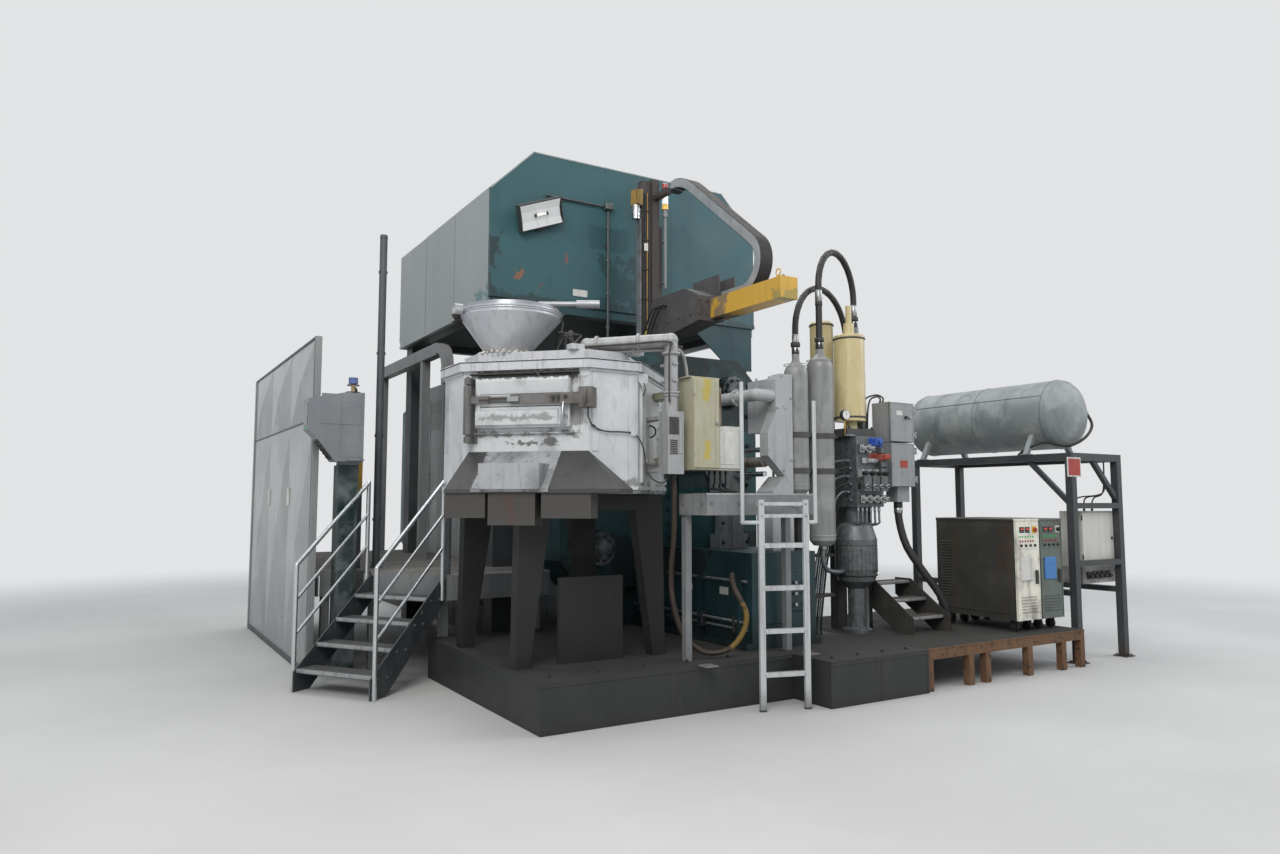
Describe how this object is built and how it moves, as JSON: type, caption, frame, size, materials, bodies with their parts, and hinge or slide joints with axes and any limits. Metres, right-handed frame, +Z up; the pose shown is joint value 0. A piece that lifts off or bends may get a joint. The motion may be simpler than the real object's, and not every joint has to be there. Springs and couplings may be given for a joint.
{
  "type": "die casting machine",
  "caption": "Horizontal cold-chamber die casting machine with dosing furnace, fume hood, die sprayer, gas bottles, vessel frame and access stairs.",
  "frame": {"origin": "on the floor, under the machine's centre line, at the die face of the fixed platen", "axes": "+Z up, +Y along the machine towards the clamping end, +X to the side away from the operator"},
  "size_m": [8.3218, 10.33, 5.7],
  "materials": {
    "plinth_paint": "satin",
    "deck_steel": "rough",
    "rusty_steel": "rough",
    "machine_teal": "satin",
    "bright_steel": "polished",
    "grey_cover": "satin",
    "grey_cast": "satin",
    "cream_paint": "gloss",
    "dark_steel": "rough",
    "hose_rubber": "matte",
    "box_grey": "satin",
    "platform_grey": "satin",
    "ladder_white": "satin",
    "hood_teal": "satin",
    "hood_grey": "satin",
    "lamp_glass": "clear",
    "sprayer_brown": "rough",
    "beam_yellow": "gloss",
    "chain_plastic": "matte",
    "signal_lenses": "gloss",
    "furnace_silver": "satin",
    "furnace_grey": "rough",
    "cabinet_beige": "satin",
    "vessel_grey": "satin",
    "unit_dark": "satin",
    "galvanised": "galvanised",
    "console_grey": "satin"
  },
  "bodies": {
    "machine": {"plinth": "plinth_paint", "side_deck": "deck_steel", "deck_beams": "rusty_steel", "deck_posts": "rusty_steel", "machine_bed": "machine_teal", "fixed_platen": "machine_teal", "moving_platen": "machine_teal", "end_platen": "machine_teal", "tie_bars": "bright_steel", "clamp_cover": "grey_cover", "closing_cylinder": "machine_teal", "shot_pedestal": "machine_teal", "shot_unit": "grey_cast", "shot_rods": "bright_steel", "valve_housing": "grey_cast", "gas_bottles": "grey_cast", "cream_cylinders": "cream_paint", "accumulator_rack": "dark_steel", "arched_hoses": "hose_rubber", "valve_block": "dark_steel", "control_boxes": "box_grey", "box_hose": "hose_rubber", "service_platform": "platform_grey", "ladder": "ladder_white", "inner_steps": "deck_steel", "hood_front": "hood_teal", "hood_walls": "hood_grey", "hood_roof": "hood_grey", "hood_apron": "hood_teal", "hood_posts": "dark_steel", "hood_lamp": "lamp_glass", "spray_carriage": "sprayer_brown", "spray_beam": "beam_yellow", "spray_mast": "sprayer_brown", "energy_chain": "chain_plastic", "stack_light": "signal_lenses", "furnace_shell": "furnace_silver", "furnace_top_plate": "furnace_silver", "furnace_apron": "furnace_grey", "furnace_stand": "dark_steel", "door_hinge_bracket": "furnace_grey", "hopper": "furnace_silver", "burner_pipe": "furnace_grey", "loop_hose": "hose_rubber", "furnace_cabinets": "cabinet_beige", "vessel": "vessel_grey", "vessel_frame": "dark_steel", "frame_cabinet": "cabinet_beige", "cooling_units": "unit_dark", "stair": "platform_grey", "stair_rails": "galvanised", "operator_platform": "platform_grey", "door_rail": "platform_grey", "guard_pole": "dark_steel", "control_console": "console_grey", "guard_wall": "grey_cover"},
    "furnace_door": {"furnace_door": "furnace_silver", "door_bar": "furnace_grey"},
    "upper_box_door": {"upper_box_door": "box_grey"},
    "lower_box_door": {"lower_box_door": "box_grey"}
  },
  "joints": [
    {"name": "furnace_door_hinge", "type": "hinge", "parent": "machine", "child": "furnace_door", "pos_m": [-2.85957, -2.07478, 2.4], "axis": [0, 0, -1], "range_deg": [0, 100]},
    {"name": "upper_box_hinge", "type": "hinge", "parent": "machine", "child": "upper_box_door", "pos_m": [1.992, -2.476, 2.54], "axis": [0, 0, 1], "range_deg": [0, 110]},
    {"name": "lower_box_hinge", "type": "hinge", "parent": "machine", "child": "lower_box_door", "pos_m": [1.992, -2.476, 2.09], "axis": [0, 0, 1], "range_deg": [0, 110]}
  ]
}
